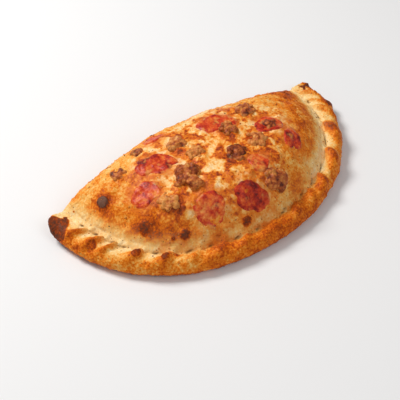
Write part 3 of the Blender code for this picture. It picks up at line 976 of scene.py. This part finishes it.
def make_crumbs(surface, random):
    """Toasted crumbs and dark specks, baked onto the dome and the rim."""
    made = bmesh.new()
    shades = []
    for _ in range(CRUMB_TRIES):
        plan = np.array((random.uniform(-0.128, 0.128), random.uniform(-0.118, 0.014)))
        from_edge = surface.read(surface.from_edge, plan[None])[0]
        from_fold = surface.read(surface.from_fold, plan[None])[0]
        if not inside_outline(plan) or min(from_edge, from_fold) < 0.003:
            continue
        place, normal = surface.surface(plan[None])
        level = max(cheese_level(plan[None])[0], 0.0002)
        size = CRUMB_SIZE + CRUMB_SIZE_SPREAD * random.uniform(0.0, 1.0) ** 3
        where = place[0] + normal[0] * (level + 0.2 * size) + ORIGIN_SHIFT
        turn = Vector(random.uniform(-1.0, 1.0, 3)).normalized().to_track_quat("Z", "Y")
        squash = Matrix.Diagonal((random.uniform(0.7, 1.3), random.uniform(0.7, 1.3), 0.7, 1.0))
        matrix = Matrix.Translation(where) @ turn.to_matrix().to_4x4() @ squash
        ball = bmesh.ops.create_icosphere(made, subdivisions=1, radius=size, matrix=matrix)
        shades += [random.uniform(0.0, 1.0)] * len(ball["verts"])
    mesh = bpy.data.meshes.new("toasted_crumbs")
    made.to_mesh(mesh)
    made.free()
    mesh.shade_smooth()
    layer = mesh.attributes.new("shade", "FLOAT", "POINT")
    layer.data.foreach_set("value", np.array(shades, dtype=np.float32))
    crumbs = placed("toasted_crumbs", mesh)
    crumbs.data.materials.append(crumb_material())
    return crumbs


# ---------------------------------------------------------------- materials


def linear(red, green, blue):
    """A shader colour from screen values of 0 to 255."""
    shares = np.array((red, green, blue)) / 255.0
    low, high = shares / 12.92, ((shares + 0.055) / 1.055) ** 2.4
    return (*np.where(shares <= 0.04045, low, high).tolist(), 1.0)


class Shader:
    """A Principled material under construction. Its methods return output sockets."""

    def __init__(self, name, **constants):
        self.material = bpy.data.materials.new(name)
        self.material.use_nodes = True
        self.tree = self.material.node_tree
        self.surface = self.tree.nodes["Principled BSDF"]
        place = self.tree.nodes.new("ShaderNodeTexCoord")
        self.place = place.outputs["Object"]
        for key, value in constants.items():
            self.surface.inputs[key.replace("_", " ")].default_value = value

    def node(self, kind, inputs, **settings):
        made = self.tree.nodes.new(kind)
        for key, value in settings.items():
            setattr(made, key, value)
        for key, value in inputs.items():
            if isinstance(value, bpy.types.NodeSocket):
                self.tree.links.new(value, made.inputs[key])
            else:
                made.inputs[key].default_value = value
        return made

    def noise(self, size, detail=2.0, roughness=0.5):
        """Noise about 0.5 whose features are about the given size in metres."""
        inputs = {
            "Vector": self.place,
            "Scale": 0.7 / size,
            "Detail": detail,
            "Roughness": roughness,
        }
        return self.node("ShaderNodeTexNoise", inputs).outputs["Fac"]

    def cells(self, size):
        inputs = {"Vector": self.place, "Scale": 1.0 / size}
        return self.node("ShaderNodeTexVoronoi", inputs, feature="F1")

    def attribute(self, name):
        return self.node("ShaderNodeAttribute", {}, attribute_name=name).outputs["Fac"]

    def math(self, operation, a, b):
        return self.node("ShaderNodeMath", {0: a, 1: b}, operation=operation).outputs[0]

    def add(self, a, b):
        return self.math("ADD", a, b)

    def times(self, a, b):
        return self.math("MULTIPLY", a, b)

    def span(self, value, low, high, to_low=0.0, to_high=1.0):
        inputs = {
            "Value": value,
            "From Min": low,
            "From Max": high,
            "To Min": to_low,
            "To Max": to_high,
        }
        return self.node("ShaderNodeMapRange", inputs).outputs["Result"]

    def swing(self, noise, reach):
        """A noise stretched to run from -reach to reach."""
        return self.span(noise, NOISE_LOW, NOISE_HIGH, -reach, reach)

    def gloss(self, noise, low, high):
        """A roughness between two values that follows a noise."""
        return self.span(noise, NOISE_LOW, NOISE_HIGH, low, high)

    def ramp(self, value, stops):
        made = self.node("ShaderNodeValToRGB", {"Fac": value})
        line = made.color_ramp.elements
        line[0].position, line[0].color = stops[0][0], linear(*stops[0][1])
        line[1].position, line[1].color = stops[-1][0], linear(*stops[-1][1])
        for position, colour in stops[1:-1]:
            line.new(position).color = linear(*colour)
        return made.outputs["Color"]

    def mix(self, share, first, second):
        made = self.tree.nodes.new("ShaderNodeMix")
        made.data_type = "RGBA"
        sockets = [made.inputs["Factor"], *[s for s in made.inputs if s.type == "RGBA"]]
        for socket, value in zip(sockets, (share, first, second)):
            if isinstance(value, bpy.types.NodeSocket):
                self.tree.links.new(value, socket)
            else:
                socket.default_value = value
        return next(s for s in made.outputs if s.type == "RGBA")

    def painted(self, colour, share, strength, tint):
        return self.mix(self.times(share, strength), colour, linear(*tint))

    def bumped(self, height, distance, under=None):
        inputs = {"Height": height, "Distance": distance, "Strength": 1.0}
        if under is not None:
            inputs["Normal"] = under
        return self.node("ShaderNodeBump", inputs).outputs["Normal"]

    def finish(self, colour, roughness, normal):
        for key, value in (("Base Color", colour), ("Roughness", roughness), ("Normal", normal)):
            if isinstance(value, bpy.types.NodeSocket):
                self.tree.links.new(value, self.surface.inputs[key])
            else:
                self.surface.inputs[key].default_value = value
        return self.material


DOUGH_STOPS = (
    (0.00, (248, 222, 172)),
    (0.16, (242, 202, 134)),
    (0.32, (238, 172, 80)),
    (0.46, (228, 124, 20)),
    (0.60, (194, 84, 6)),
    (0.72, (142, 56, 12)),
    (0.82, (112, 56, 32)),
    (0.91, (86, 50, 36)),
    (1.00, (112, 76, 60)),
)
CHEESE_STOPS = (
    (0.00, (255, 226, 178)),
    (0.16, (254, 204, 134)),
    (0.32, (244, 168, 74)),
    (0.46, (232, 126, 20)),
    (0.60, (198, 82, 8)),
    (0.72, (146, 54, 12)),
    (0.84, (94, 40, 22)),
    (1.00, (64, 34, 24)),
)
_materials = {}


def once(build):
    """Builds a material on first use and reuses it."""

    def shared():
        if build.__name__ not in _materials:
            _materials[build.__name__] = build()
        return _materials[build.__name__]

    return shared


def specks(shader, size, chance, radius):
    """Small round specks in a random share of the cells."""
    cell = shader.cells(size)
    split = shader.node("ShaderNodeSeparateColor", {"Color": cell.outputs["Color"]})
    picked = shader.math("LESS_THAN", split.outputs[0], chance)
    return shader.times(picked, shader.span(cell.outputs["Distance"], radius, radius * 0.5))


def top_colour(shader, fine, medium, fine_reach, medium_reach):
    """The dough's colours at a bake level, turning into the cheese's where it covers."""
    level = shader.add(shader.attribute("bake"), shader.swing(fine, fine_reach))
    level = shader.add(level, shader.swing(medium, medium_reach))
    dough, cheese = shader.ramp(level, DOUGH_STOPS), shader.ramp(level, CHEESE_STOPS)
    return shader.mix(shader.attribute("cover"), dough, cheese)


def oiled(shader, colour, medium):
    """A colour with the orange stain of oil that has run out of the pepperoni."""
    stained = shader.times(shader.attribute("oil"), shader.span(medium, 0.3, 0.6))
    return shader.painted(colour, stained, 0.62, (222, 114, 32))


@once
def crust_material():
    shader = Shader(
        "baked_crust", Specular_IOR_Level=0.10, Coat_Weight=0.03, Coat_Roughness=0.22
    )
    fine, medium = shader.noise(0.0011, 3.0, 0.6), shader.noise(0.0040, 3.0, 0.6)
    colour = top_colour(shader, fine, medium, 0.13, 0.07)
    dusted = shader.times(shader.attribute("flour"), shader.span(fine, 0.35, 0.6))
    colour = shader.painted(colour, dusted, 0.35, (242, 206, 146))
    colour = oiled(shader, colour, medium)
    colour = shader.painted(colour, specks(shader, 0.0022, 0.20, 0.30), 0.75, (140, 66, 26))
    # Painted shade: the seam's slits are darkened to stand in for the shadow inside them.
    colour = shader.mix(shader.attribute("gap_depth_and_shade"), colour, linear(118, 74, 38))
    normal = shader.bumped(fine, 0.00042)
    normal = shader.bumped(shader.noise(0.0005, 2.0, 0.6), 0.00018, under=normal)
    return shader.finish(colour, shader.gloss(fine, 0.50, 0.72), normal)


@once
def cheese_material():
    shader = Shader(
        "melted_cheese", Specular_IOR_Level=0.20, Coat_Weight=0.03, Coat_Roughness=0.25
    )
    fine, medium = shader.noise(0.0012, 3.0, 0.6), shader.noise(0.0045, 3.0, 0.6)
    colour = oiled(shader, top_colour(shader, fine, medium, 0.12, 0.10), medium)
    colour = shader.painted(colour, specks(shader, 0.0026, 0.20, 0.26), 0.75, (150, 70, 30))
    normal = shader.bumped(fine, 0.00048)
    normal = shader.bumped(shader.noise(0.0006, 2.0, 0.6), 0.00016, under=normal)
    return shader.finish(colour, shader.gloss(medium, 0.34, 0.55), normal)


@once
def pepperoni_material():
    shader = Shader(
        "pepperoni", Specular_IOR_Level=0.22, Coat_Weight=0.05, Coat_Roughness=0.25
    )
    fine, medium = shader.noise(0.0012, 3.0, 0.65), shader.noise(0.0030, 3.0, 0.6)
    level = shader.add(shader.attribute("red"), shader.swing(fine, 0.22))
    colour = shader.ramp(
        level,
        (
            (0.0, (238, 148, 70)),
            (0.25, (226, 106, 38)),
            (0.5, (206, 66, 22)),
            (0.75, (176, 38, 14)),
            (1.0, (112, 18, 10)),
        ),
    )
    crusted = shader.times(shader.attribute("cheesy"), shader.span(medium, 0.35, 0.6))
    cheesy = shader.ramp(medium, ((0.35, (246, 190, 104)), (0.65, (214, 118, 40))))
    colour = shader.mix(shader.times(crusted, 0.92), colour, cheesy)
    normal = shader.bumped(fine, 0.00040)
    return shader.finish(colour, shader.gloss(medium, 0.28, 0.48), normal)


@once
def sausage_material():
    shader = Shader("sausage", Specular_IOR_Level=0.25, Coat_Weight=0.08, Coat_Roughness=0.3)
    fine = shader.noise(0.0010, 3.0, 0.65)
    # Painted light and shade: lighter on the lumps' tops and crumb middles, darker in the crevices
    # between crumbs.
    level = shader.times(shader.attribute("lit_tops_and_crevice_shade"), 0.52)
    level = shader.add(level, shader.times(shader.attribute("label"), 0.25))
    level = shader.add(level, shader.swing(fine, 0.15))
    level = shader.math("SUBTRACT", level, shader.times(shader.attribute("dark"), 0.45))
    colour = shader.ramp(
        level,
        (
            (0.0, (74, 24, 8)),
            (0.25, (134, 54, 16)),
            (0.5, (182, 90, 30)),
            (0.75, (216, 138, 64)),
            (1.0, (246, 196, 122)),
        ),
    )
    melted = shader.times(shader.attribute("low"), shader.span(fine, 0.3, 0.6))
    cheesy = shader.ramp(fine, ((0.35, (244, 182, 96)), (0.65, (216, 126, 46))))
    colour = shader.mix(shader.times(melted, 0.85), colour, cheesy)
    normal = shader.bumped(fine, 0.00055)
    return shader.finish(colour, shader.gloss(fine, 0.38, 0.62), normal)


@once
def crumb_material():
    shader = Shader("toasted_crumbs", Specular_IOR_Level=0.4)
    level = shader.add(shader.attribute("shade"), shader.swing(shader.noise(0.0006), 0.1))
    dark = ((0.0, (120, 58, 24)), (0.3, (160, 80, 26)))
    stops = (*dark, (0.7, (210, 128, 50)), (1.0, (240, 190, 110)))
    colour = shader.ramp(level, stops)
    return shader.finish(colour, 0.6, shader.bumped(shader.noise(0.0005), 0.0001))


# ---------------------------------------------------------------- floor, light, camera


def make_floor():
    reach = 3.0
    corners = np.array([(-1.0, -1.0, 0.0), (1.0, -1.0, 0.0), (1.0, 1.0, 0.0), (-1.0, 1.0, 0.0)])
    corners *= reach
    floor = mesh_object("floor", corners - (0.0, 0.0, 0.0002), [[0, 1, 2, 3]])
    shader = Shader("floor", Specular_IOR_Level=0.2)
    tint = shader.ramp(shader.noise(0.5), ((0.0, (234, 234, 235)), (1.0, (238, 238, 239))))
    floor.data.materials.append(shader.finish(tint, 0.7, (0.0, 0.0, 0.0)))
    return floor


def area_light(name, place, size, power, colour=(1.0, 1.0, 1.0)):
    """A round studio light that faces the frame's origin."""
    light = bpy.data.lights.new(name, "AREA")
    light.shape = "DISK"
    light.size, light.energy, light.color = size, power, colour
    holder = placed(name, light)
    holder.location = Vector(place)
    holder.rotation_euler = (-Vector(place)).to_track_quat("-Z", "Y").to_euler()


def light_scene():
    world = bpy.data.worlds.new("studio")
    bpy.context.scene.world = world
    world.use_nodes = True
    sky = world.node_tree.nodes["Background"]
    sky.inputs["Color"].default_value = (1.0, 0.995, 0.985, 1.0)
    sky.inputs["Strength"].default_value = SKY_STRENGTH
    area_light("key", *KEY_LIGHT, (1.0, 0.985, 0.96))
    area_light("fill", *FILL_LIGHT)


def make_camera():
    camera = bpy.data.cameras.new("camera")
    camera.lens, camera.sensor_width = CAMERA_LENS, 36.0
    holder = placed("camera", camera)
    aim = Vector(CAMERA_AIM) + Vector(ORIGIN_SHIFT)
    azimuth, elevation = math.radians(CAMERA_AZIMUTH), math.radians(CAMERA_ELEVATION)
    back = Vector(
        (
            math.sin(azimuth) * math.cos(elevation),
            -math.cos(azimuth) * math.cos(elevation),
            math.sin(elevation),
        )
    )
    holder.location = aim + CAMERA_DISTANCE * back
    turn = (-back).to_track_quat("-Z", "Y").to_matrix()
    turn = turn @ Matrix.Rotation(math.radians(CAMERA_ROLL), 3, "Z")
    holder.rotation_euler = turn.to_euler()
    bpy.context.scene.camera = holder


def attach(piece, slot, *nodes):
    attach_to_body(piece, "root")
    if nodes:
        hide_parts(*nodes)


def main():
    surface = SurfaceMap()
    attach(make_crust(), "crust", "crust")
    attach(make_cheese(surface), "cheese", "cheese")
    random = np.random.default_rng(11)
    for number, spec in enumerate(PEPPERONI, start=1):
        attach(make_slice(surface, number, spec, random), "pepperoni", f"pepperoni_{number}")
    for number, spec in enumerate(SAUSAGE, start=1):
        attach(make_lump(surface, number, spec, random), "sausage", f"sausage_{number}")
    attach(make_crumbs(surface, random), "crust")
    make_floor()
    light_scene()
    make_camera()
    bpy.context.scene.view_settings.view_transform = "Standard"


main()
